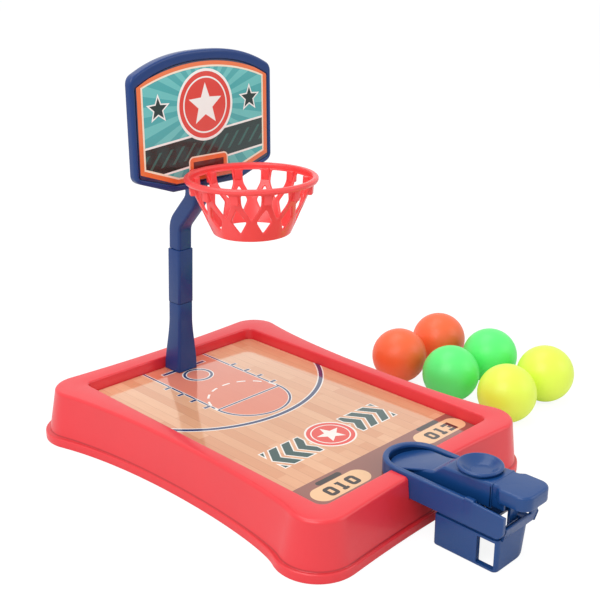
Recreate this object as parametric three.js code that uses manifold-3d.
// Tabletop basketball game: a moulded tray with a printed court, a bent post with a backboard
// and a net-shaped hoop, a sprung flick launcher over the front wall, and six small balls.
// Millimetres. +Z is up and the table is z = 0. The player sits on the -Y side, and the backboard
// faces that way. Every dimension is taken from the middle of the court. At the end the whole set
// is moved so that its origin lies under the middle of the set with its balls.

import * as THREE from 'three';
import { mergeVertices } from 'three/addons/utils/BufferGeometryUtils.js';
import Module from 'manifold-3d';

const wasm = await Module();
wasm.setup();

// Fits
const GAP = 0.3; // between pieces that touch
const SPIGOT_GAP = 0.4; // around plugs and pivots

// Tray
const TRAY_HEIGHT = 37.2;
const TRAY_CORNER_R = 20;
const TRAY_BACK_X = 83.3; // centres of the rim's corners
const TRAY_BACK_Y = 117.8;
const TRAY_FRONT_X = 78.8;
const TRAY_FRONT_Y = -116.6;
const TRAY_WALL = 2.4;
const BACK_LEAN = 13.6; // degrees that the long sides turn in from the corners
const FRONT_LEAN = 21;
const BACK_PULL = 73; // how far each end of a long side keeps its direction
const FRONT_PULL = 24;
const END_LEAN = 4.5;
const END_PULL = 53;
const SPREAD = 7.6; // how far the foot flange stands out past the rim
const SPREAD_LEAN = 5.4;
const SPREAD_BACK_X = 1.2;
const SPREAD_FRONT_X = -0.7;
const SPREAD_FRONT_Y = 2.7;
const SKIRT_SPREAD = 0.6; // the wall's share of the spread just over the flange
const FLANGE_HEIGHT = 6.4;
const RIM_ROUND = 2.2;

// Court recess
const RECESS_HALF_X = 80;
const RECESS_HALF_Y = 119.3;
const RECESS_CORNER_R = 6;
const RECESS_DRAFT = 0.3;
const SKIRT_CUT_Z = 23; // bottom of the launcher's cut through the tray's outer front wall
const COURT_Z = 28.7; // top of the printed card
const CARD_THICK = 0.8;
const FLOOR_TOP = COURT_Z - CARD_THICK - GAP;
const FLOOR_THICK = 2.4;
const FLOOR_BOTTOM = FLOOR_TOP - FLOOR_THICK;
const RIB_THICK = 1.6;
const RIB_DEPTH = 8;
const LONG_RIBS_X = [-50, 50];
const CROSS_RIBS_Y = [-75, -15, 45];

// Post
const POST_Y = 109.7;
const POST_TIP = 0.055; // how far the post tips forward for its height
const POST_CORNER_R = 2;
const FOOT_HALF = 9.2;
const FOOT_TOP = 84;
const NECK_HALF = 6.7;
const SLEEVE_HALF = 6.95;
const SLEEVE_TOP = 126;
const SPIGOT_HALF = 4.8;
const SPIGOT_LENGTH = 12;
const SPIGOT_WALL = 1.6;
const ARM_HALF = 6.25;
const ARM_BORE_HALF = 4.1;
const ARM_BEND_Z = 145.5;
const ARM_TOP_Y = 83.2; // centre of the pole behind the backboard
const ARM_SOCKET_Z = 167;
const ARM_TOP = 208;
const PLUG_HALF = 5;
const PLUG_BOTTOM = 16;

// Backboard
const BOARD_FRONT_Y = 70;
const BOARD_THICK = 6.5;
const BOARD_HALF = 61.2;
const BOARD_FLAT_HALF = 29.5; // half of the flat bottom edge
const BOARD_BOTTOM = 178.3;
const BOARD_CHAMFER_Z = 189.4; // where the sloping bottom corners meet the sides
const BOARD_SHOULDER_Z = 257.4;
const BOARD_APEX = 271.3;
const BOARD_CORNER_R = 5;
const BORDER_SIDE = 3.4;
const BORDER_BOTTOM = 4.4;
const BORDER_TOP = 6.6;
const CARD_RECESS = 1.4;
const BOARD_WEB = 2.2;
const SOCKET_WALL = 2;
const SOCKET_BOTTOM = 188.4;
const SOCKET_TOP = 211;

// Hoop and net
const HOOP_Y = 24.9;
const HOOP_TOP = 192.8;
const RING_OUTER = 44.8;
const RING_INNER = 40.6;
const RING_DEPTH = 3.8;
const NET_BOTTOM = 154;
const NET_BOTTOM_R = 26.3;
const NET_WALL = 2;
const NET_BAYS = 12;
const NET_TURN = 2.5; // degrees that the pattern is turned from the post's line
const STEP_OUTER = 42; // outside of the steps under the ring
const STEP_DEPTH = 7.2;
const TAB_X = 12.6;
const TAB_WIDTH = 5;
const TAB_Z = 189;
const TAB_HEIGHT = 2;

// Launcher housing
const LAUNCH_HALF = 20.5;
const LAUNCH_WALL = 2.4;
const LAUNCH_INNER = LAUNCH_HALF - LAUNCH_WALL;
const NOSE_Y = -122.3; // centre of the round inner end
const LIP_Z = 39.4;
const LIP_INNER = 16.4; // the lip is thicker than the wall below it
const LIP_DEPTH = 2.6;
const LUG_Z = 40.3; // a low lug on each side wall ends the thick lip
const LUG_Y = -173.5;
const OUTER_LIP_Y = -180;
const OUTER_LIP_Z = 39.4; // from here the thin wall's edge falls
const OUTER_LIP_END_Z = 38.2; // to here at the open end
const HOUSING_BOTTOM = 23.3;
const HOUSING_END_Y = -200.8; // open outer end, on the -X side
const HOUSING_FAR_END_Y = -197.6; // and on the +X side
const HOUSING_END_R = 5.5; // round of the side walls' lower outer corners
const NOSE_BOTTOM = COURT_Z + 0.5;
const RUNWAY_INNER_Y = -101.5;
const RUNWAY_INNER_Z = 31.2; // the floor under the lever's nose climbs from here
const RUNWAY_END_Y = -123.4; // to here
const RUNWAY_END_Z = 35.2;
const RUNWAY_THICK = 2.2;

// Launcher foot
const FOOT_BOX_HALF = 19.4;
const FOOT_BOX_INNER_Y = -152.6;
const FOOT_BOX_OUTER_Y = -197.2;
const FOOT_BOX_TOP = 20.8;
const FOOT_BOX_WALL = 1.8;
const FOOT_NECK_HALF = LAUNCH_INNER - GAP; // the part that enters the housing
const FOOT_NECK_TOP = HOUSING_BOTTOM + 3;
const END_PLATE_X0 = -15;
const END_PLATE_X1 = 17.5;
const END_PLATE_TOP = 27.5;
const PLATE_CORNER_TOP = 30.5; // the plate is higher beside the ledge, on the +X side
const END_PLATE_THICK = 2;
const END_PLATE_LEAN = 2.2; // how far the plate's top leans out
const LEDGE_Z = 25.2; // underside of the ledge that stops the lever's hook
const LEDGE_Y = -191.8; // how far in the ledge reaches
const LEDGE_END_X = 10.5;
const WINDOW_Z = 2;
const WINDOW_TOP = 19.4;
const NEAR_CORNER_R = 3.6; // outer corner on the -X side
const FAR_CORNER_R = 18; // outer corner on the +X side, at the table
const FAR_CORNER_TOP_R = 13; // and at the top of the box
const WINDOW_NEAR_OUTER_Y = -195.2; // outer edge of the window on the -X side
const WINDOW_FAR_OUTER_Y = -192.8; // and on the +X side
const LEG_POCKET_HALF = 12; // hollow in the end wall that the lever's leg hangs in
const LEG_POCKET_Y = -195;
const WINDOW_NEAR_Y = -183.4; // inner edge of the window on the -X side
const WINDOW_FAR_Y = -168; // inner edge of the longer window on the +X side
const SHELF_Z = 19.4; // underside of the spring's shelf
const SHELF_THICK = 2;
const SHELF_HALF = 17;
const SHELF_OUTER_Y = -181;
const SHELF_INNER_Y = -159;
const PIN_R = 2.6;
const PIN_TOP = 26.4;
const TONGUE_Z = 24.2;
const TONGUE_THICK = 2;
const TONGUE_END = -139;

// Lever
const PIVOT_Y = -130;
const PIVOT_Z = 34.4;
const TRUNNION_R = 1.7;
const LEVER_HALF = 11.5;
const LEVER_WALL = 1.8;
const LEVER_INNER_Y = -124;
const LEVER_INNER_Z = 38;
const LEVER_NOSE_R = 15.6; // the lever's flat front is half-round like the trough
const LEVER_NOSE_TAPER_Y = -136; // and tapers to the lever's width here
const LEVER_NOSE_THICK = 1.6;
const RAMP_FOOT_Y = -143.7;
const RAMP_FOOT_Z = 42;
const RAMP_TOP_Y = -150.4;
const RAMP_TOP_Z = 48;
const LEVER_END_Y = -186;
const LEVER_END_Z = 51;
const SKIRT_Z = 35;
const DISH_Y = -169.6;
const DISH_TOP = 53;
const DISH_BOTTOM = 47.2;
const DISH_R = 13.9; // wider than the lever
const DISH_FLARE_Z = 49.2;
const BALL_R = 22;
const BOWL_CURVE_R = 17; // the ball rests on the bowl's edge
const BOWL_R = 11.2;
const PAD_HALF = 13.5;
const PAD_NECK_HALF = 10.9;
const PAD_NECK_Y = -188.8; // where the pad widens
const PAD_WIDE_Y = -192;
const PAD_INNER_Y = -184;
const PAD_OUTER_Y = -210.4;
const PAD_TOP = 50.3;
const PAD_THICK = 9;
const PAD_WALL = 2; // the pad is hollow below
const SKIRT_INNER_X = 9.1; // side skirts under the pad, from here to the pad's neck
const SKIRT_INNER_Y = -184.6;
const SKIRT_OUTER_Y = -194.2;
const SKIRT_END_Z = 36;
const LEG_HALF = 3.8;
const LEG_INNER_Y = -192.3;
const LEG_OUTER_Y = -194.4;
const HOOK_REACH = 2.1; // how far the hook reaches sideways under the ledge
const LEG_BOTTOM = 22.4;

// Spring
const SPRING_Y = -170;
const SPRING_R = 4.3;
const WIRE_R = 0.5;
const SPRING_TURNS = 8;
const STEPS_PER_TURN = 8;
const WIRE_SIDES = 5;
const SPRING_BOTTOM = SHELF_Z + SHELF_THICK + WIRE_R + GAP;
const SPRING_TOP = 46;

// Screws
const SCREW_HEAD_R = 2.5;
const SCREW_HEAD_HEIGHT = 1.9;
const SCREW_SHANK_R = 1.2;
const BOSS_R = 3;
const NOSE_SCREW_X = 9;
const NOSE_SCREW_Y = -111.5;
const NOSE_SCREW_TIP = 31.9;
const FOOT_SCREW_X = 15.2;
const FOOT_SCREW_Y = -145;
const FOOT_SCREW_TIP = 33;

// Balls on the table beside the tray
const BALL_ROWS_X = [151, 203];
const BALL_COLUMNS_Y = [16, -36, -88];

// Middle of the set with its balls, seen from the middle of the court
const SET_CENTRE_X = 56.53;
const SET_CENTRE_Y = -32.54;

function plastic(color, roughness = 0.35) {
  return new THREE.MeshStandardMaterial({ color, roughness, metalness: 0 });
}

const RED = plastic(0xf0383f);
const CORAL = plastic(0xff4f4a);
const BLUE = plastic(0x1f3f78);
const STEEL = new THREE.MeshStandardMaterial({ color: 0xc4c8cc, roughness: 0.3, metalness: 1 });
const COURT_PRINT = plastic(0xe4b693, 0.15);
const BOARD_PRINT = plastic(0x4fb3b5, 0.25);
const BALL_COLOURS = { orange: 0xff7a45, green: 0x66f285, yellow: 0xe6ff5c };

// A closed geometry as a solid that can be cut and joined.
function solidOf(geometry) {
  const bare = geometry.clone();
  bare.deleteAttribute('normal');
  bare.deleteAttribute('uv');
  const merged = mergeVertices(bare, 1e-4);
  return new wasm.Manifold(new wasm.Mesh({
    numProp: 3,
    vertProperties: new Float32Array(merged.attributes.position.array),
    triVerts: new Uint32Array(merged.index.array),
  }));
}

function geometryOf(solid) {
  const mesh = solid.getMesh();
  const geometry = new THREE.BufferGeometry();
  geometry.setAttribute('position', new THREE.BufferAttribute(mesh.vertProperties, 3));
  geometry.setIndex(new THREE.BufferAttribute(mesh.triVerts, 1));
  geometry.computeVertexNormals();
  return geometry;
}

function meshOf(name, solid, material) {
  const mesh = new THREE.Mesh(geometryOf(solid), material);
  mesh.name = name;
  return mesh;
}

// A block between two corners.
function block(x0, x1, y0, y1, z0, z1) {
  const geometry = new THREE.BoxGeometry(x1 - x0, y1 - y0, z1 - z0);
  geometry.translate((x0 + x1) / 2, (y0 + y1) / 2, (z0 + z1) / 2);
  return solidOf(geometry);
}

function uprightCylinder(radius, x, y, z0, z1, sides = 20) {
  const geometry = new THREE.CylinderGeometry(radius, radius, z1 - z0, sides);
  geometry.rotateX(Math.PI / 2);
  geometry.translate(x, y, (z0 + z1) / 2);
  return solidOf(geometry);
}

// A plan shape raised from z0 to z1.
function raised(shape, z0, z1, curveSegments = 8) {
  const geometry = new THREE.ExtrudeGeometry(shape, { depth: z1 - z0, bevelEnabled: false, curveSegments });
  geometry.translate(0, 0, z0);
  return solidOf(geometry);
}

// A shape drawn in x and z, given its thickness along Y from y0 to y1.
function standing(shape, y0, y1, curveSegments = 8) {
  const geometry = new THREE.ExtrudeGeometry(shape, { depth: y1 - y0, bevelEnabled: false, curveSegments });
  geometry.rotateX(Math.PI / 2);
  geometry.translate(0, y1, 0);
  return solidOf(geometry);
}

// A side profile drawn in y and z, given its width along X from x0 to x1.
function profiled(points, x0, x1) {
  const shape = new THREE.Shape(points.map(([y, z]) => new THREE.Vector2(y, z)));
  const geometry = new THREE.ExtrudeGeometry(shape, { depth: x1 - x0, bevelEnabled: false });
  geometry.rotateX(Math.PI / 2);
  geometry.rotateZ(Math.PI / 2);
  geometry.translate(x0, 0, 0);
  return solidOf(geometry);
}

// One closed solid through outlines with equal numbers of points, each at its own height.
function loft(levels) {
  const positions = [];
  const faces = [];
  const count = levels[0].outline.length;
  const top = (levels.length - 1) * count;
  for (const { outline, z } of levels) {
    outline.forEach((point) => positions.push(point.x, point.y, z));
  }
  for (let ring = 0; ring < top; ring += count) {
    for (let i = 0; i < count; i += 1) {
      const a = ring + i;
      const b = ring + ((i + 1) % count);
      faces.push(a, b, b + count, a, b + count, a + count);
    }
  }
  for (const [a, b, c] of THREE.ShapeUtils.triangulateShape(levels[0].outline, [])) {
    faces.push(a, c, b);
  }
  for (const [a, b, c] of THREE.ShapeUtils.triangulateShape(levels.at(-1).outline, [])) {
    faces.push(top + a, top + b, top + c);
  }
  const geometry = new THREE.BufferGeometry();
  geometry.setAttribute('position', new THREE.Float32BufferAttribute(positions, 3));
  geometry.setIndex(faces);
  return solidOf(geometry);
}

// Points of a path without the last one, which repeats the first.
function openPoints(path, divisions) {
  const points = path.getPoints(divisions);
  const closed = points[0].distanceTo(points.at(-1)) < 1e-6;
  return closed ? points.slice(0, -1) : points;
}

// A rectangle with round corners about a centre.
function roundedPath(path, halfX, halfY, radius, centreY = 0) {
  const x = halfX - radius;
  const y = halfY - radius;
  path.absarc(x, centreY - y, radius, -Math.PI / 2, 0);
  path.absarc(x, centreY + y, radius, 0, Math.PI / 2);
  path.absarc(-x, centreY + y, radius, Math.PI / 2, Math.PI);
  path.absarc(-x, centreY - y, radius, Math.PI, 1.5 * Math.PI);
  path.closePath();
  return path;
}

function roundedOutline(halfX, halfY, radius, centreY = 0, divisions = 3) {
  return openPoints(roundedPath(new THREE.Path(), halfX, halfY, radius, centreY), divisions);
}

// The tray's plan: four round corners joined by sides that bow in to a waist.
// The spread runs from 0 at the rim to 1 at the foot flange.
function trayOutline(spread, inset = 0) {
  const radius = TRAY_CORNER_R + SPREAD * spread - inset;
  const backLean = BACK_LEAN + SPREAD_LEAN * spread;
  const frontLean = FRONT_LEAN + SPREAD_LEAN * spread;
  const backX = TRAY_BACK_X + SPREAD_BACK_X * spread;
  const frontX = TRAY_FRONT_X + SPREAD_FRONT_X * spread;
  const frontY = TRAY_FRONT_Y + SPREAD_FRONT_Y * spread;
  const corners = [
    { x: backX, y: TRAY_BACK_Y, from: -backLean, to: 90 + END_LEAN, out: END_PULL, in: BACK_PULL },
    { x: -backX, y: TRAY_BACK_Y, from: 90 - END_LEAN, to: 180 + backLean, out: BACK_PULL, in: END_PULL },
    { x: -frontX, y: frontY, from: 180 - frontLean, to: 270 + END_LEAN, out: END_PULL, in: FRONT_PULL },
    { x: frontX, y: frontY, from: 270 - END_LEAN, to: 360 + frontLean, out: FRONT_PULL, in: END_PULL },
  ];
  const onArc = (corner, degrees) => {
    const angle = THREE.MathUtils.degToRad(degrees);
    return new THREE.Vector2(corner.x + radius * Math.cos(angle), corner.y + radius * Math.sin(angle));
  };
  const ahead = (degrees, length) => {
    const angle = THREE.MathUtils.degToRad(degrees + 90);
    return new THREE.Vector2(length * Math.cos(angle), length * Math.sin(angle));
  };
  return corners.flatMap((corner, i) => {
    const next = corners[(i + 1) % corners.length];
    const start = THREE.MathUtils.degToRad(corner.from);
    const end = THREE.MathUtils.degToRad(corner.to);
    const arc = new THREE.EllipseCurve(corner.x, corner.y, radius, radius, start, end);
    const first = onArc(corner, corner.to);
    const last = onArc(next, next.from);
    const pull = first.clone().add(ahead(corner.to, corner.out));
    const push = last.clone().sub(ahead(next.from, next.in));
    const side = new THREE.CubicBezierCurve(first, pull, push, last);
    return [...arc.getPoints(9), ...side.getPoints(14).slice(1, -1)];
  });
}

function trayOutside() {
  return loft([
    { z: 0, outline: trayOutline(1) },
    { z: FLANGE_HEIGHT - 1, outline: trayOutline(1) },
    { z: FLANGE_HEIGHT, outline: trayOutline(1, 1) },
    { z: FLANGE_HEIGHT + 0.6, outline: trayOutline(SKIRT_SPREAD) },
    { z: TRAY_HEIGHT - RIM_ROUND, outline: trayOutline(0) },
    { z: TRAY_HEIGHT - 0.6, outline: trayOutline(0, 0.8) },
    { z: TRAY_HEIGHT, outline: trayOutline(0, RIM_ROUND) },
  ]);
}

// The hollow under the tray, which leaves the court's floor and the recess walls standing.
function trayHollow() {
  const hollow = loft([
    { z: -1, outline: trayOutline(1, TRAY_WALL + 1) },
    { z: FLANGE_HEIGHT, outline: trayOutline(SKIRT_SPREAD, TRAY_WALL) },
    { z: TRAY_HEIGHT - TRAY_WALL, outline: trayOutline(0, TRAY_WALL) },
  ]);
  const halfX = RECESS_HALF_X + TRAY_WALL;
  const halfY = RECESS_HALF_Y + TRAY_WALL;
  return hollow.subtract(block(-halfX, halfX, -halfY, halfY, FLOOR_BOTTOM, TRAY_HEIGHT));
}

// The court's recess, with a little draft and a bevelled upper edge.
function recess() {
  const outline = (grow) => roundedOutline(RECESS_HALF_X + grow, RECESS_HALF_Y + grow, RECESS_CORNER_R);
  return loft([
    { z: FLOOR_TOP, outline: outline(-RECESS_DRAFT) },
    { z: TRAY_HEIGHT - 1, outline: outline(0) },
    { z: TRAY_HEIGHT + 0.1, outline: outline(1) },
  ]);
}

// Stiffening ribs under the court's floor, and the square socket for the post's plug.
function trayRibs() {
  const bottom = FLOOR_BOTTOM - RIB_DEPTH;
  const overlap = FLOOR_BOTTOM + 1;
  const half = RIB_THICK / 2;
  const boss = PLUG_HALF + SPIGOT_GAP + TRAY_WALL;
  let ribs = block(-boss, boss, POST_Y - boss, POST_Y + boss, PLUG_BOTTOM - 2, overlap);
  for (const x of LONG_RIBS_X) {
    ribs = ribs.add(block(x - half, x + half, -RECESS_HALF_Y, RECESS_HALF_Y, bottom, overlap));
  }
  for (const y of CROSS_RIBS_Y) {
    ribs = ribs.add(block(-RECESS_HALF_X, RECESS_HALF_X, y - half, y + half, bottom, overlap));
  }
  return ribs;
}

// The opening in the front wall that the launcher lies in.
function launcherNotch() {
  const side = LAUNCH_HALF + SPIGOT_GAP;
  const wall = -RECESS_HALF_Y;
  const above = TRAY_HEIGHT + 5;
  const overFloor = block(-side, side, wall - 12, wall + 3, NOSE_BOTTOM - GAP, above);
  const overSkirt = block(-side, side, wall - 40, wall - TRAY_WALL - 0.1, SKIRT_CUT_Z, above);
  return overFloor.add(overSkirt);
}

// A square hole for the post's plug.
function plugHole(z0, z1) {
  const half = PLUG_HALF + SPIGOT_GAP;
  return block(-half, half, POST_Y - half, POST_Y + half, z0, z1);
}

// The two holes for the nose's screws.
function noseScrewHoles(z0, z1) {
  const hole = (x) => uprightCylinder(SCREW_SHANK_R + SPIGOT_GAP, x, NOSE_SCREW_Y, z0, z1, 12);
  return hole(-NOSE_SCREW_X).add(hole(NOSE_SCREW_X));
}

function makeTray() {
  return trayOutside()
    .subtract(trayHollow())
    .add(trayRibs())
    .subtract(recess())
    .subtract(launcherNotch())
    .subtract(plugHole(PLUG_BOTTOM - 5, COURT_Z))
    .subtract(noseScrewHoles(FLOOR_BOTTOM - 2, COURT_Z));
}

function makeCourtCard() {
  const halfX = RECESS_HALF_X - 1;
  const halfY = RECESS_HALF_Y - 1;
  const sheet = roundedPath(new THREE.Shape(), halfX, halfY, RECESS_CORNER_R);
  return raised(sheet, COURT_Z - CARD_THICK, COURT_Z, 4)
    .subtract(plugHole(FLOOR_TOP, COURT_Z + 1))
    .subtract(noseScrewHoles(FLOOR_TOP, COURT_Z + 1));
}

// A square post section with round corners.
function postOutline(half) {
  return roundedOutline(half, half, Math.min(POST_CORNER_R, half / 2), POST_Y);
}

// An upright square block around the post's centre line.
function postBlock(half, z0, z1) {
  return block(-half, half, POST_Y - half, POST_Y + half, z0, z1);
}

// The post tips a little toward the court, while its ends and joints stay level.
function tipped(solid) {
  const shear = new THREE.Matrix4().makeShear(0, 0, 0, 0, 0, -POST_TIP);
  const geometry = geometryOf(solid).applyMatrix4(shear);
  geometry.translate(0, POST_TIP * COURT_Z, 0);
  return solidOf(geometry);
}

// The flared socket piece that stands on the court.
function makePostFoot() {
  const flare = [[0, 0], [2, 0], [9, 0.4], [16, 0.9], [23, 1.4], [30, 1.9], [37, 2.4]];
  const bottom = COURT_Z + GAP;
  const bore = SPIGOT_HALF - SPIGOT_WALL;
  const levels = flare.map(([rise, draw]) => ({ z: bottom + rise, outline: postOutline(FOOT_HALF - draw) }));
  levels.push({ z: FOOT_TOP - GAP, outline: postOutline(NECK_HALF) });
  const shaft = loft(levels)
    .add(postBlock(SPIGOT_HALF, FOOT_TOP - 5, FOOT_TOP + SPIGOT_LENGTH))
    .subtract(postBlock(bore, bottom - 1, FOOT_TOP + SPIGOT_LENGTH + 1));
  const plug = postBlock(PLUG_HALF, PLUG_BOTTOM, bottom + 1);
  return tipped(shaft).add(plug.subtract(postBlock(bore, PLUG_BOTTOM + 2, bottom + 2)));
}

// The plain square sleeve that joins the foot to the bent pole.
function makePostSleeve() {
  const outside = loft([
    { z: FOOT_TOP, outline: postOutline(SLEEVE_HALF - 0.3) },
    { z: FOOT_TOP + 1, outline: postOutline(SLEEVE_HALF) },
    { z: SLEEVE_TOP - 1, outline: postOutline(SLEEVE_HALF) },
    { z: SLEEVE_TOP, outline: postOutline(SLEEVE_HALF - 0.3) },
  ]);
  return tipped(outside.subtract(postBlock(SPIGOT_HALF + SPIGOT_GAP, FOOT_TOP - 1, SLEEVE_TOP + 1)));
}

// The pole's centre line: up, forward over the court, and up again behind the backboard.
function armPath(startZ, endZ) {
  const soft = 7; // straight length given up to each side of a bend
  const onPost = (z) => new THREE.Vector3(0, POST_Y - POST_TIP * (z - COURT_Z), z);
  const behindBoard = (z) => new THREE.Vector3(0, ARM_TOP_Y, z);
  const low = onPost(ARM_BEND_Z);
  const high = behindBoard(ARM_SOCKET_Z);
  const slope = high.clone().sub(low).normalize();
  const leaveLow = low.clone().addScaledVector(slope, soft);
  const reachHigh = high.clone().addScaledVector(slope, -soft);
  const path = new THREE.CurvePath();
  path.add(new THREE.LineCurve3(onPost(startZ), onPost(ARM_BEND_Z - soft)));
  path.add(new THREE.QuadraticBezierCurve3(onPost(ARM_BEND_Z - soft), low, leaveLow));
  path.add(new THREE.LineCurve3(leaveLow, reachHigh));
  path.add(new THREE.QuadraticBezierCurve3(reachHigh, high, behindBoard(ARM_SOCKET_Z + soft)));
  path.add(new THREE.LineCurve3(behindBoard(ARM_SOCKET_Z + soft), behindBoard(endZ)));
  return path;
}

function armSweep(half, radius, startZ, endZ) {
  const section = roundedPath(new THREE.Shape(), half, half, radius);
  return solidOf(new THREE.ExtrudeGeometry(section, {
    steps: 30,
    bevelEnabled: false,
    curveSegments: 3,
    extrudePath: armPath(startZ, endZ),
  }));
}

function makePostArm() {
  const start = SLEEVE_TOP + GAP;
  const bore = SPIGOT_HALF - SPIGOT_WALL;
  const pole = armSweep(ARM_HALF, POST_CORNER_R, start - 2, ARM_TOP)
    .subtract(postBlock(20, start - 10, start));
  return pole
    .add(tipped(postBlock(SPIGOT_HALF, SLEEVE_TOP - SPIGOT_LENGTH, start + 4)))
    .subtract(armSweep(ARM_BORE_HALF, 1, start + 5, ARM_TOP + 1))
    .subtract(tipped(postBlock(bore, SLEEVE_TOP - SPIGOT_LENGTH - 1, start + 6)));
}

// The backboard's front outline: flat bottom, sloping lower corners, upright sides, arched top.
function boardShape(side, bottom, top) {
  const half = BOARD_HALF - side;
  const flat = BOARD_FLAT_HALF - side / 2;
  const low = BOARD_BOTTOM + bottom;
  const chamfer = BOARD_CHAMFER_Z + bottom / 2;
  const shoulder = BOARD_SHOULDER_Z - top;
  const apex = BOARD_APEX - top;
  const soft = BOARD_CORNER_R - Math.min(side, 3);
  const shape = new THREE.Shape();
  shape.moveTo(flat, low);
  shape.lineTo(half - soft, chamfer - soft * 0.36);
  shape.quadraticCurveTo(half, chamfer, half, chamfer + soft);
  shape.lineTo(half, shoulder - soft);
  shape.quadraticCurveTo(half, shoulder, half - soft, shoulder + soft * 0.42);
  shape.bezierCurveTo(half * 0.6, apex - 1.6, half * 0.3, apex, 0, apex);
  shape.bezierCurveTo(-half * 0.3, apex, -half * 0.6, apex - 1.6, soft - half, shoulder + soft * 0.42);
  shape.quadraticCurveTo(-half, shoulder, -half, shoulder - soft);
  shape.lineTo(-half, chamfer + soft);
  shape.quadraticCurveTo(-half, chamfer, soft - half, chamfer - soft * 0.36);
  shape.lineTo(-flat, low);
  shape.closePath();
  return shape;
}

// Slots for the hoop's two tabs.
function tabSlots() {
  const half = TAB_WIDTH / 2 + GAP;
  const y0 = BOARD_FRONT_Y - 1;
  const y1 = BOARD_FRONT_Y + BOARD_THICK;
  const slot = (x) => block(x - half, x + half, y0, y1, TAB_Z - GAP, TAB_Z + TAB_HEIGHT + GAP);
  return slot(-TAB_X).add(slot(TAB_X));
}

function makeBackboard() {
  const back = BOARD_FRONT_Y + BOARD_THICK;
  const bed = BOARD_FRONT_Y + CARD_RECESS;
  const plate = standing(boardShape(0, 0, 0), BOARD_FRONT_Y, back, 6);
  const cardRecess = standing(boardShape(BORDER_SIDE, BORDER_BOTTOM, BORDER_TOP), BOARD_FRONT_Y - 1, bed, 6);
  const backPocket = standing(boardShape(2.4, 2.8, 2.4), bed + BOARD_WEB, back + 1, 6);
  const bore = ARM_HALF + SPIGOT_GAP;
  const outer = bore + SOCKET_WALL;
  const socket = block(-outer, outer, bed + 1, ARM_TOP_Y + outer, SOCKET_BOTTOM, SOCKET_TOP);
  const boreTop = SOCKET_TOP - SOCKET_WALL;
  const socketBore = block(-bore, bore, ARM_TOP_Y - bore, ARM_TOP_Y + bore, SOCKET_BOTTOM - 1, boreTop);
  return plate
    .subtract(cardRecess)
    .subtract(backPocket)
    .add(socket)
    .subtract(socketBore)
    .subtract(tabSlots());
}

function makeBackboardCard() {
  const front = BOARD_FRONT_Y + CARD_RECESS - GAP - CARD_THICK;
  const slack = 0.4;
  const sheet = boardShape(BORDER_SIDE + slack, BORDER_BOTTOM + slack, BORDER_TOP + slack);
  return standing(sheet, front, front + CARD_THICK, 6).subtract(tabSlots());
}

// One window of the net, pointing outward along +X before it is turned into its bay.
function netWindow(points) {
  const shape = new THREE.Shape(points.map(([across, z]) => new THREE.Vector2(across, z)));
  const geometry = new THREE.ExtrudeGeometry(shape, { depth: RING_OUTER, bevelEnabled: false });
  geometry.rotateX(Math.PI / 2);
  geometry.rotateZ(Math.PI / 2);
  geometry.translate(8, 0, 0);
  return geometry;
}

function turned(geometry, degrees) {
  const copy = geometry.clone();
  copy.rotateZ(THREE.MathUtils.degToRad(degrees));
  copy.translate(0, HOOP_Y, 0);
  return solidOf(copy);
}

// The tapered wall of the net with the ring on top, turned from one closed profile.
function hoopWall() {
  const low = HOOP_TOP - RING_DEPTH;
  const wallTop = RING_INNER + 1;
  const profile = [
    [RING_INNER, HOOP_TOP - 1], [RING_INNER, low + 0.4],
    [wallTop - NET_WALL, low - 0.4], [NET_BOTTOM_R - NET_WALL, NET_BOTTOM],
    [NET_BOTTOM_R - 0.4, NET_BOTTOM], [NET_BOTTOM_R, NET_BOTTOM + 0.6],
    [wallTop, low - 0.4], [RING_OUTER - 1, low], [RING_OUTER - 0.2, low + 0.7],
    [RING_OUTER, HOOP_TOP - 1.8], [RING_OUTER - 0.4, HOOP_TOP - 0.7],
    [RING_OUTER - 1.4, HOOP_TOP], [RING_INNER + 1, HOOP_TOP - 0.2],
  ].map(([r, z]) => new THREE.Vector2(r, z));
  profile.push(profile[0].clone());
  const wall = new THREE.LatheGeometry(profile, 48);
  wall.rotateX(Math.PI / 2);
  wall.translate(0, HOOP_Y, 0);
  return solidOf(wall);
}

// A cone frustum on the hoop's axis.
function hoopCone(topR, bottomR, bottomZ, topZ) {
  const cone = new THREE.CylinderGeometry(topR, bottomR, topZ - bottomZ, 48);
  cone.rotateX(Math.PI / 2);
  cone.translate(0, HOOP_Y, (topZ + bottomZ) / 2);
  return solidOf(cone);
}

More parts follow.
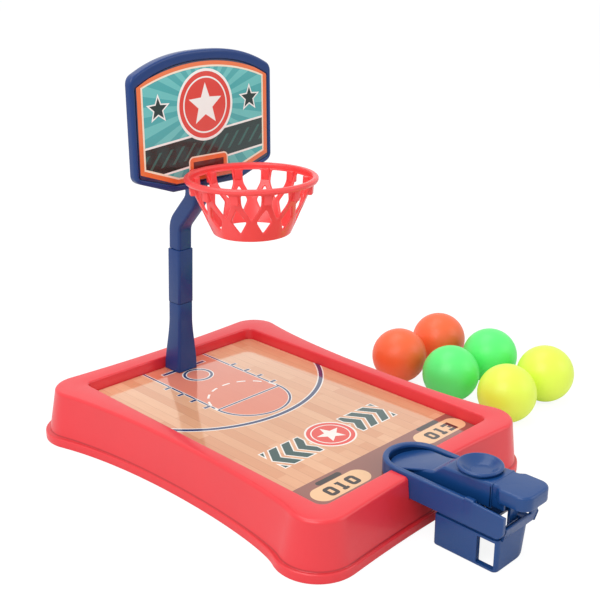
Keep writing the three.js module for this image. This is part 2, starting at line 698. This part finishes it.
// Ring and net are one moulding: tall windows over a row of diamonds, with a step over each strut.
function makeHoopNet() {
  const low = HOOP_TOP - RING_DEPTH;
  const bay = 360 / NET_BAYS;
  const step = new THREE.BoxGeometry(5, 6, STEP_DEPTH + 1);
  step.translate(STEP_OUTER - 2.5, 0, low - (STEP_DEPTH - 1) / 2);
  const tall = netWindow([[-6.5, 180.2], [0, 169.9], [6.5, 180.2], [6.8, low - 0.8], [-6.8, low - 0.8]]);
  const small = netWindow([[-5.3, 168.6], [0, 160], [5.3, 168.6], [0, 178.2]]);
  let hoop = hoopWall();
  for (let k = 0; k < NET_BAYS; k += 1) {
    hoop = hoop.add(turned(step, k * bay + NET_TURN));
  }
  hoop = hoop.subtract(hoopCone(RING_INNER - 1, NET_BOTTOM_R - NET_WALL, NET_BOTTOM, low));
  for (let k = 0; k < NET_BAYS; k += 1) {
    hoop = hoop.subtract(turned(tall, (k + 0.5) * bay + NET_TURN));
    hoop = hoop.subtract(turned(small, k * bay + NET_TURN));
  }
  const web = BOARD_FRONT_Y + CARD_RECESS + BOARD_WEB;
  const bracket = block(-16, 16, HOOP_Y + RING_OUTER - 5, BOARD_FRONT_Y, low + 0.2, HOOP_TOP - 0.6);
  hoop = hoop.add(bracket.subtract(hoopCone(RING_OUTER - 1, RING_OUTER - 1, NET_BOTTOM, HOOP_TOP + 1)));
  for (const x of [-TAB_X, TAB_X]) {
    const x0 = x - TAB_WIDTH / 2;
    const x1 = x + TAB_WIDTH / 2;
    hoop = hoop.add(block(x0, x1, BOARD_FRONT_Y - 2, web + 2, TAB_Z, TAB_Z + TAB_HEIGHT));
    hoop = hoop.add(block(x0, x1, web + GAP, web + 2, TAB_Z - 0.9, TAB_Z + TAB_HEIGHT));
  }
  return hoop;
}

// The launcher's plan: a half-round nose and straight sides to a square outer end.
function launcherOutline(half, endY) {
  const path = new THREE.Path();
  path.absarc(0, NOSE_Y, half, 0, Math.PI);
  path.lineTo(-half, endY);
  path.lineTo(half, endY);
  path.closePath();
  return openPoints(path, 10);
}

// The trough's floor, climbing from the nose under the lever's flat front.
function runway() {
  const nose = raised(new THREE.Shape(launcherOutline(LAUNCH_HALF - 1, RUNWAY_END_Y)), 0, TRAY_HEIGHT + 5);
  const slope = (RUNWAY_END_Z - RUNWAY_INNER_Z) / (RUNWAY_END_Y - RUNWAY_INNER_Y);
  const start = RUNWAY_INNER_Y + 2;
  const startZ = RUNWAY_INNER_Z + 2 * slope;
  const ramp = profiled([
    [start, startZ], [RUNWAY_END_Y, RUNWAY_END_Z],
    [RUNWAY_END_Y, RUNWAY_END_Z - RUNWAY_THICK], [start, startZ - RUNWAY_THICK],
  ], -LAUNCH_HALF, LAUNCH_HALF);
  return ramp.intersect(nose);
}

// What is cut away at a side wall's outer end: all beyond endY, and a round lower corner.
function housingEndCut(endY, x0, x1) {
  const steps = 6;
  const beyond = HOUSING_END_Y - 1;
  const centreY = endY + HOUSING_END_R;
  const centreZ = HOUSING_BOTTOM + HOUSING_END_R;
  const above = LIP_Z + 5;
  const below = HOUSING_BOTTOM - 1;
  const points = [[endY, above], [beyond, above], [beyond, below], [centreY, below]];
  for (let k = 0; k <= steps; k += 1) {
    const angle = (Math.PI / 2) * (k / steps);
    points.push([centreY - HOUSING_END_R * Math.sin(angle), centreZ - HOUSING_END_R * Math.cos(angle)]);
  }
  return profiled(points, x0, x1);
}

// A boss for a screw driven from below, and its blind hole.
function boss(x, y, z0, z1) {
  return uprightCylinder(BOSS_R, x, y, z0, z1);
}

function bossHole(x, y, z0, tipZ) {
  return uprightCylinder(SCREW_SHANK_R + GAP, x, y, z0 - 1, tipZ + GAP, 12);
}

function makeLauncherHousing() {
  const far = 30; // clear of the housing
  const shell = (half, endY, z0, z1) => raised(new THREE.Shape(launcherOutline(half, endY)), z0, z1, 10);
  const outside = shell(LAUNCH_HALF, HOUSING_END_Y, HOUSING_BOTTOM, LUG_Z);
  const inside = shell(LAUNCH_INNER, HOUSING_END_Y - 10, HOUSING_BOTTOM - 1, LUG_Z + 1);
  const lip = shell(LAUNCH_INNER + 1, OUTER_LIP_Y, LIP_Z - LIP_DEPTH, LIP_Z)
    .subtract(shell(LIP_INNER, OUTER_LIP_Y - 10, LIP_Z - LIP_DEPTH - 1, LIP_Z + 1));
  const fall = (OUTER_LIP_Z - OUTER_LIP_END_Z) / (OUTER_LIP_Y - HOUSING_END_Y);
  const beyond = HOUSING_END_Y - 10;
  const overEdge = profiled([
    [OUTER_LIP_Y, OUTER_LIP_Z], [OUTER_LIP_Y, LUG_Z + 5],
    [beyond, LUG_Z + 5], [beyond, OUTER_LIP_END_Z - 10 * fall],
  ], -far, far);
  const wallEnd = -RECESS_HALF_Y - TRAY_WALL - SPIGOT_GAP;
  const pivotR = TRUNNION_R + GAP;
  const pivots = new THREE.CylinderGeometry(pivotR, pivotR, 2 * (LAUNCH_INNER + 1.5), 16);
  pivots.rotateZ(Math.PI / 2);
  pivots.translate(0, PIVOT_Y, PIVOT_Z);
  let housing = outside
    .subtract(inside)
    .subtract(block(-far, far, wallEnd, 0, 0, NOSE_BOTTOM))
    .subtract(block(-far, far, LUG_Y, 0, LIP_Z, LIP_Z + 5))
    .subtract(overEdge)
    .subtract(housingEndCut(HOUSING_END_Y, -far, 0))
    .subtract(housingEndCut(HOUSING_FAR_END_Y, 0, far))
    .add(runway())
    .add(lip)
    .subtract(solidOf(pivots));
  const bossZ = TONGUE_Z + TONGUE_THICK + GAP;
  const bossTop = FOOT_SCREW_TIP + 1.5;
  for (const side of [-1, 1]) {
    const noseX = side * NOSE_SCREW_X;
    const footX = side * FOOT_SCREW_X;
    const web = [footX, side * (LAUNCH_INNER + 1)].sort((a, b) => a - b);
    housing = housing
      .add(boss(noseX, NOSE_SCREW_Y, NOSE_BOTTOM, NOSE_SCREW_TIP + 0.8))
      .subtract(bossHole(noseX, NOSE_SCREW_Y, NOSE_BOTTOM, NOSE_SCREW_TIP))
      .add(boss(footX, FOOT_SCREW_Y, bossZ, bossTop))
      .add(block(...web, FOOT_SCREW_Y - 1.6, FOOT_SCREW_Y + 1.6, bossZ, bossTop))
      .subtract(bossHole(footX, FOOT_SCREW_Y, bossZ, FOOT_SCREW_TIP));
  }
  return housing;
}

// The foot's plan: the outer corner away from the player's left hand is the rounder one.
function footOutline(inset, farRound = FAR_CORNER_TOP_R) {
  const half = FOOT_BOX_HALF - inset;
  const innerY = FOOT_BOX_INNER_Y - inset;
  const outerY = FOOT_BOX_OUTER_Y + inset;
  const near = Math.max(NEAR_CORNER_R - inset, 0.6);
  const far = farRound - inset;
  const small = 2;
  const path = new THREE.Path();
  path.absarc(half - small, innerY - small, small, 0, Math.PI / 2);
  path.absarc(-half + small, innerY - small, small, Math.PI / 2, Math.PI);
  path.absarc(-half + near, outerY + near, near, Math.PI, 1.5 * Math.PI);
  path.absarc(half - far, outerY + far, far, 1.5 * Math.PI, 2 * Math.PI);
  path.closePath();
  return openPoints(path, 4);
}

// The plate that closes the housing's open end, with the ledge that holds the lever down.
function endPlate() {
  const y = FOOT_BOX_OUTER_Y;
  const z = FOOT_BOX_TOP - 0.8;
  const plate = profiled([
    [y + END_PLATE_THICK, z], [y - END_PLATE_LEAN + END_PLATE_THICK, END_PLATE_TOP],
    [y - END_PLATE_LEAN, END_PLATE_TOP], [y, z],
  ], END_PLATE_X0, END_PLATE_X1);
  const outerY = y - END_PLATE_LEAN;
  const corner = block(LEDGE_END_X, END_PLATE_X1, outerY, y - 0.2, END_PLATE_TOP - 1, PLATE_CORNER_TOP);
  return plate.add(corner).add(block(LEG_HALF + GAP, LEDGE_END_X, y, LEDGE_Y, LEDGE_Z, LEDGE_Z + 2));
}

// A window through one side wall of the foot.
function footWindow(x0, x1, outerY, innerY) {
  return block(x0, x1, outerY, innerY, WINDOW_Z, WINDOW_TOP);
}

// The open-bottomed box that carries the spring and stands on the table under the lever.
function makeLauncherFoot() {
  const neckInset = FOOT_BOX_HALF - FOOT_NECK_HALF;
  const wallInset = neckInset + FOOT_BOX_WALL;
  const far = 30; // clear of the foot
  const box = loft([
    { z: 0, outline: footOutline(0.6, FAR_CORNER_R) },
    { z: 1, outline: footOutline(0, FAR_CORNER_R) },
    { z: FOOT_BOX_TOP, outline: footOutline(0) },
  ]);
  const neck = raised(new THREE.Shape(footOutline(neckInset)), FOOT_BOX_TOP - 1, FOOT_NECK_TOP);
  const hollow = raised(new THREE.Shape(footOutline(wallInset)), -1, FOOT_NECK_TOP + 1);
  const pocket = block(-LEG_POCKET_HALF, LEG_POCKET_HALF, LEG_POCKET_Y, LEG_INNER_Y, -1, FOOT_NECK_TOP + 1);
  const tongueInner = FOOT_BOX_INNER_Y - 3;
  const tongueTop = TONGUE_Z + TONGUE_THICK;
  let foot = box
    .add(neck)
    .subtract(hollow)
    .subtract(pocket)
    .add(endPlate())
    .add(block(-FOOT_NECK_HALF, FOOT_NECK_HALF, tongueInner, TONGUE_END, TONGUE_Z, tongueTop))
    .add(block(-SHELF_HALF, SHELF_HALF, SHELF_OUTER_Y, SHELF_INNER_Y, SHELF_Z, SHELF_Z + SHELF_THICK))
    .add(uprightCylinder(PIN_R, 0, SPRING_Y, SHELF_Z, PIN_TOP))
    .subtract(footWindow(-far, -LEG_POCKET_HALF, WINDOW_NEAR_OUTER_Y, WINDOW_NEAR_Y))
    .subtract(footWindow(LEG_POCKET_HALF, far, WINDOW_FAR_OUTER_Y, WINDOW_FAR_Y));
  for (const x of [-FOOT_SCREW_X, FOOT_SCREW_X]) {
    foot = foot.subtract(
      uprightCylinder(SCREW_SHANK_R + SPIGOT_GAP, x, FOOT_SCREW_Y, TONGUE_Z - 1, tongueTop + 1, 12),
    );
  }
  return foot;
}

// The lever's hollow wedge, seen from the side: up from the pivot, up the ramp, along the top.
function leverBody() {
  const inner = LEVER_HALF - LEVER_WALL;
  const endY = LEVER_END_Y + LEVER_WALL;
  const belly = PIVOT_Z - 3.2;
  const below = PIVOT_Z - 5;
  const outside = profiled([
    [LEVER_INNER_Y, LEVER_INNER_Z], [RAMP_FOOT_Y, RAMP_FOOT_Z],
    [RAMP_TOP_Y, RAMP_TOP_Z], [LEVER_END_Y, LEVER_END_Z], [LEVER_END_Y, SKIRT_Z],
    [PIVOT_Y - 8, belly], [PIVOT_Y + 2, belly], [LEVER_INNER_Y, PIVOT_Z],
  ], -LEVER_HALF, LEVER_HALF);
  const inside = profiled([
    [LEVER_INNER_Y - 2, below], [LEVER_INNER_Y - 2, LEVER_INNER_Z - 1.6],
    [RAMP_FOOT_Y - 0.6, RAMP_FOOT_Z - 2], [RAMP_TOP_Y - 0.6, RAMP_TOP_Z - 2.2],
    [endY, LEVER_END_Z - 2.2], [endY, below],
  ], -inner, inner);
  return outside.subtract(inside);
}

// The lever's flat front: half-round, and tapering to the ramp's foot.
function leverNose() {
  const tipY = NOSE_Y + LEVER_NOSE_R;
  const slope = (RAMP_FOOT_Z - LEVER_INNER_Z) / (LEVER_INNER_Y - RAMP_FOOT_Y);
  const tipZ = LEVER_INNER_Z - slope * (tipY - LEVER_INNER_Y);
  const path = new THREE.Path();
  path.absarc(0, NOSE_Y, LEVER_NOSE_R, 0, Math.PI);
  path.lineTo(-LEVER_HALF, LEVER_NOSE_TAPER_Y);
  path.lineTo(LEVER_HALF, LEVER_NOSE_TAPER_Y);
  path.closePath();
  const plan = raised(new THREE.Shape(openPoints(path, 10)), PIVOT_Z - 5, RAMP_FOOT_Z + 5);
  const plate = profiled([
    [tipY + 1, tipZ - slope], [RAMP_FOOT_Y, RAMP_FOOT_Z],
    [RAMP_FOOT_Y, RAMP_FOOT_Z - LEVER_NOSE_THICK], [tipY + 1, tipZ - slope - LEVER_NOSE_THICK],
  ], -LAUNCH_HALF, LAUNCH_HALF);
  return plate.intersect(plan);
}

// The finger pad's plan, wider than the lever, with round outer corners.
function padShape(inset) {
  const soft = 7;
  const half = PAD_HALF - inset;
  const neck = PAD_NECK_HALF - inset;
  const innerY = PAD_INNER_Y - inset;
  const outerY = PAD_OUTER_Y + inset;
  const shape = new THREE.Shape();
  shape.moveTo(neck, innerY);
  shape.lineTo(-neck, innerY);
  shape.lineTo(-neck, PAD_NECK_Y);
  shape.lineTo(-half, PAD_WIDE_Y);
  shape.lineTo(-half, outerY + soft + 1);
  shape.quadraticCurveTo(-half, outerY + 1.4, -half + soft, outerY + 0.6);
  shape.quadraticCurveTo(0, outerY - 0.6, half - soft, outerY + 0.6);
  shape.quadraticCurveTo(half, outerY + 1.4, half, outerY + soft + 1);
  shape.lineTo(half, PAD_WIDE_Y);
  shape.lineTo(neck, PAD_NECK_Y);
  shape.closePath();
  return shape;
}

// The finger pad: a thick plate, hollow below.
function leverPad() {
  const bottom = PAD_TOP - PAD_THICK;
  const hollow = raised(padShape(PAD_WALL), bottom - 1, PAD_TOP - PAD_WALL - 0.4, 6);
  return raised(padShape(0), bottom, PAD_TOP, 6).subtract(hollow);
}

// The ball cup: a raised ring with a bowl whose edge carries the ball.
function leverDish() {
  const rim = DISH_TOP - 0.3;
  const centre = rim + Math.sqrt(BOWL_CURVE_R ** 2 - BOWL_R ** 2);
  const bowlAt = (r) => centre - Math.sqrt(BOWL_CURVE_R ** 2 - r ** 2);
  const steps = 4;
  const points = [
    [0, DISH_BOTTOM], [LEVER_HALF - 0.7, DISH_BOTTOM], [LEVER_HALF - 0.2, DISH_FLARE_Z],
    [DISH_R - 0.7, DISH_FLARE_Z + 1.1], [DISH_R, DISH_TOP - 1.6], [DISH_R - 0.2, DISH_TOP - 0.7],
    [DISH_R - 0.8, DISH_TOP], [BOWL_R, rim],
  ];
  for (let k = 1; k <= steps; k += 1) {
    const r = BOWL_R * (1 - k / steps);
    points.push([r, bowlAt(r)]);
  }
  const geometry = new THREE.LatheGeometry(points.map(([r, z]) => new THREE.Vector2(r, z)), 32);
  geometry.rotateX(Math.PI / 2);
  geometry.translate(0, DISH_Y, 0);
  return solidOf(geometry);
}

function makeLaunchLever() {
  const trunnion = new THREE.CylinderGeometry(TRUNNION_R, TRUNNION_R, 2 * (LAUNCH_INNER + 1.2), 16);
  trunnion.rotateZ(Math.PI / 2);
  trunnion.translate(0, PIVOT_Y, PIVOT_Z);
  const bowlSpace = uprightCylinder(BOWL_R, 0, DISH_Y, DISH_BOTTOM + 1, DISH_TOP + 1, 32);
  const hookZ = LEDGE_Z - GAP;
  const skirt = (x0, x1) => block(x0, x1, SKIRT_OUTER_Y, SKIRT_INNER_Y, SKIRT_END_Z, PAD_TOP - 4);
  return leverBody()
    .add(leverNose())
    .add(leverPad())
    .add(skirt(-PAD_NECK_HALF, -SKIRT_INNER_X))
    .add(skirt(SKIRT_INNER_X, PAD_NECK_HALF))
    .subtract(bowlSpace)
    .add(leverDish())
    .add(solidOf(trunnion))
    .add(block(-LEG_HALF, LEG_HALF, LEG_OUTER_Y, LEG_INNER_Y, LEG_BOTTOM, PAD_TOP - 1))
    .add(block(0, LEG_HALF + HOOK_REACH, LEG_OUTER_Y, LEG_INNER_Y, LEG_BOTTOM, hookZ));
}

// A compression spring: one unbroken wire wound up around the shelf's pin.
function makeLeverSpring() {
  const steps = SPRING_TURNS * STEPS_PER_TURN;
  const rise = (SPRING_TOP - SPRING_BOTTOM) / steps;
  const positions = [];
  const faces = [];
  for (let s = 0; s <= steps; s += 1) {
    const turn = (2 * Math.PI * s) / STEPS_PER_TURN;
    for (let k = 0; k < WIRE_SIDES; k += 1) {
      const around = (2 * Math.PI * k) / WIRE_SIDES;
      const r = SPRING_R + WIRE_R * Math.cos(around);
      const z = SPRING_BOTTOM + rise * s + WIRE_R * Math.sin(around);
      positions.push(r * Math.cos(turn), SPRING_Y + r * Math.sin(turn), z);
    }
  }
  for (let s = 0; s < steps; s += 1) {
    for (let k = 0; k < WIRE_SIDES; k += 1) {
      const a = s * WIRE_SIDES + k;
      const b = s * WIRE_SIDES + ((k + 1) % WIRE_SIDES);
      faces.push(a, a + WIRE_SIDES, b, b, a + WIRE_SIDES, b + WIRE_SIDES);
    }
  }
  const last = steps * WIRE_SIDES;
  for (let k = 1; k < WIRE_SIDES - 1; k += 1) {
    faces.push(0, k, k + 1);
    faces.push(last, last + k + 1, last + k);
  }
  console.log(`lever_spring least gap between turns ${springGap(positions).toFixed(2)} mm`);
  const geometry = new THREE.BufferGeometry();
  geometry.setAttribute('position', new THREE.Float32BufferAttribute(positions, 3));
  geometry.setIndex(faces);
  return solidOf(geometry);
}

// The least distance between points of the wire that lie more than half a turn apart.
function springGap(positions) {
  const ring = 3 * WIRE_SIDES;
  const apart = (STEPS_PER_TURN / 2) * ring;
  let least = Infinity;
  for (let i = 0; i < positions.length; i += 3) {
    for (let j = i + apart; j < positions.length; j += 3) {
      const dx = positions[i] - positions[j];
      const dy = positions[i + 1] - positions[j + 1];
      const dz = positions[i + 2] - positions[j + 2];
      least = Math.min(least, Math.hypot(dx, dy, dz));
    }
  }
  return least;
}

// A pan-head screw driven upward: the head's underside bears at seatZ.
function makeScrew(x, y, seatZ, tipZ) {
  const head = uprightCylinder(SCREW_HEAD_R, x, y, seatZ - SCREW_HEAD_HEIGHT, seatZ, 20);
  const shank = uprightCylinder(SCREW_SHANK_R, x, y, seatZ - 0.5, tipZ, 12);
  const slotZ = seatZ - SCREW_HEAD_HEIGHT;
  const cross = block(x - 1.6, x + 1.6, y - 0.35, y + 0.35, slotZ - 1, slotZ + 0.9)
    .add(block(x - 0.35, x + 0.35, y - 1.6, y + 1.6, slotZ - 1, slotZ + 0.9));
  return head.add(shank).subtract(cross);
}

function makeBall() {
  return solidOf(new THREE.SphereGeometry(BALL_R, 20, 12).rotateX(Math.PI / 2));
}

const game = new THREE.Group();
game.position.set(-SET_CENTRE_X, -SET_CENTRE_Y, 0);
game.add(meshOf('base_tray', makeTray(), RED));
game.add(meshOf('court_card', makeCourtCard(), COURT_PRINT));
game.add(meshOf('post_foot', makePostFoot(), BLUE));
game.add(meshOf('post_sleeve', makePostSleeve(), BLUE));
game.add(meshOf('post_arm', makePostArm(), BLUE));
game.add(meshOf('backboard', makeBackboard(), BLUE));
game.add(meshOf('backboard_card', makeBackboardCard(), BOARD_PRINT));
game.add(meshOf('hoop_net', makeHoopNet(), CORAL));
game.add(meshOf('launcher_housing', makeLauncherHousing(), BLUE));
game.add(meshOf('launcher_foot', makeLauncherFoot(), BLUE));
game.add(meshOf('launch_lever', makeLaunchLever(), BLUE));
game.add(meshOf('lever_spring', makeLeverSpring(), STEEL));

const noseSeat = FLOOR_BOTTOM - GAP;
const tongueSeat = TONGUE_Z - GAP;
for (const [side, hand] of [[-1, 'left'], [1, 'right']]) {
  const noseScrew = makeScrew(side * NOSE_SCREW_X, NOSE_SCREW_Y, noseSeat, NOSE_SCREW_TIP);
  game.add(meshOf(`nose_screw_${hand}`, noseScrew, STEEL));
  const footScrew = makeScrew(side * FOOT_SCREW_X, FOOT_SCREW_Y, tongueSeat, FOOT_SCREW_TIP);
  game.add(meshOf(`foot_screw_${hand}`, footScrew, STEEL));
}

Object.entries(BALL_COLOURS).forEach(([colour, hex], column) => {
  BALL_ROWS_X.forEach((x, row) => {
    const ball = meshOf(`ball_${colour}_${row + 1}`, makeBall(), plastic(hex, 0.3));
    ball.position.set(x, BALL_COLUMNS_Y[column], BALL_R);
    game.add(ball);
  });
});

const set = new THREE.Group();
set.add(game);

export default set;
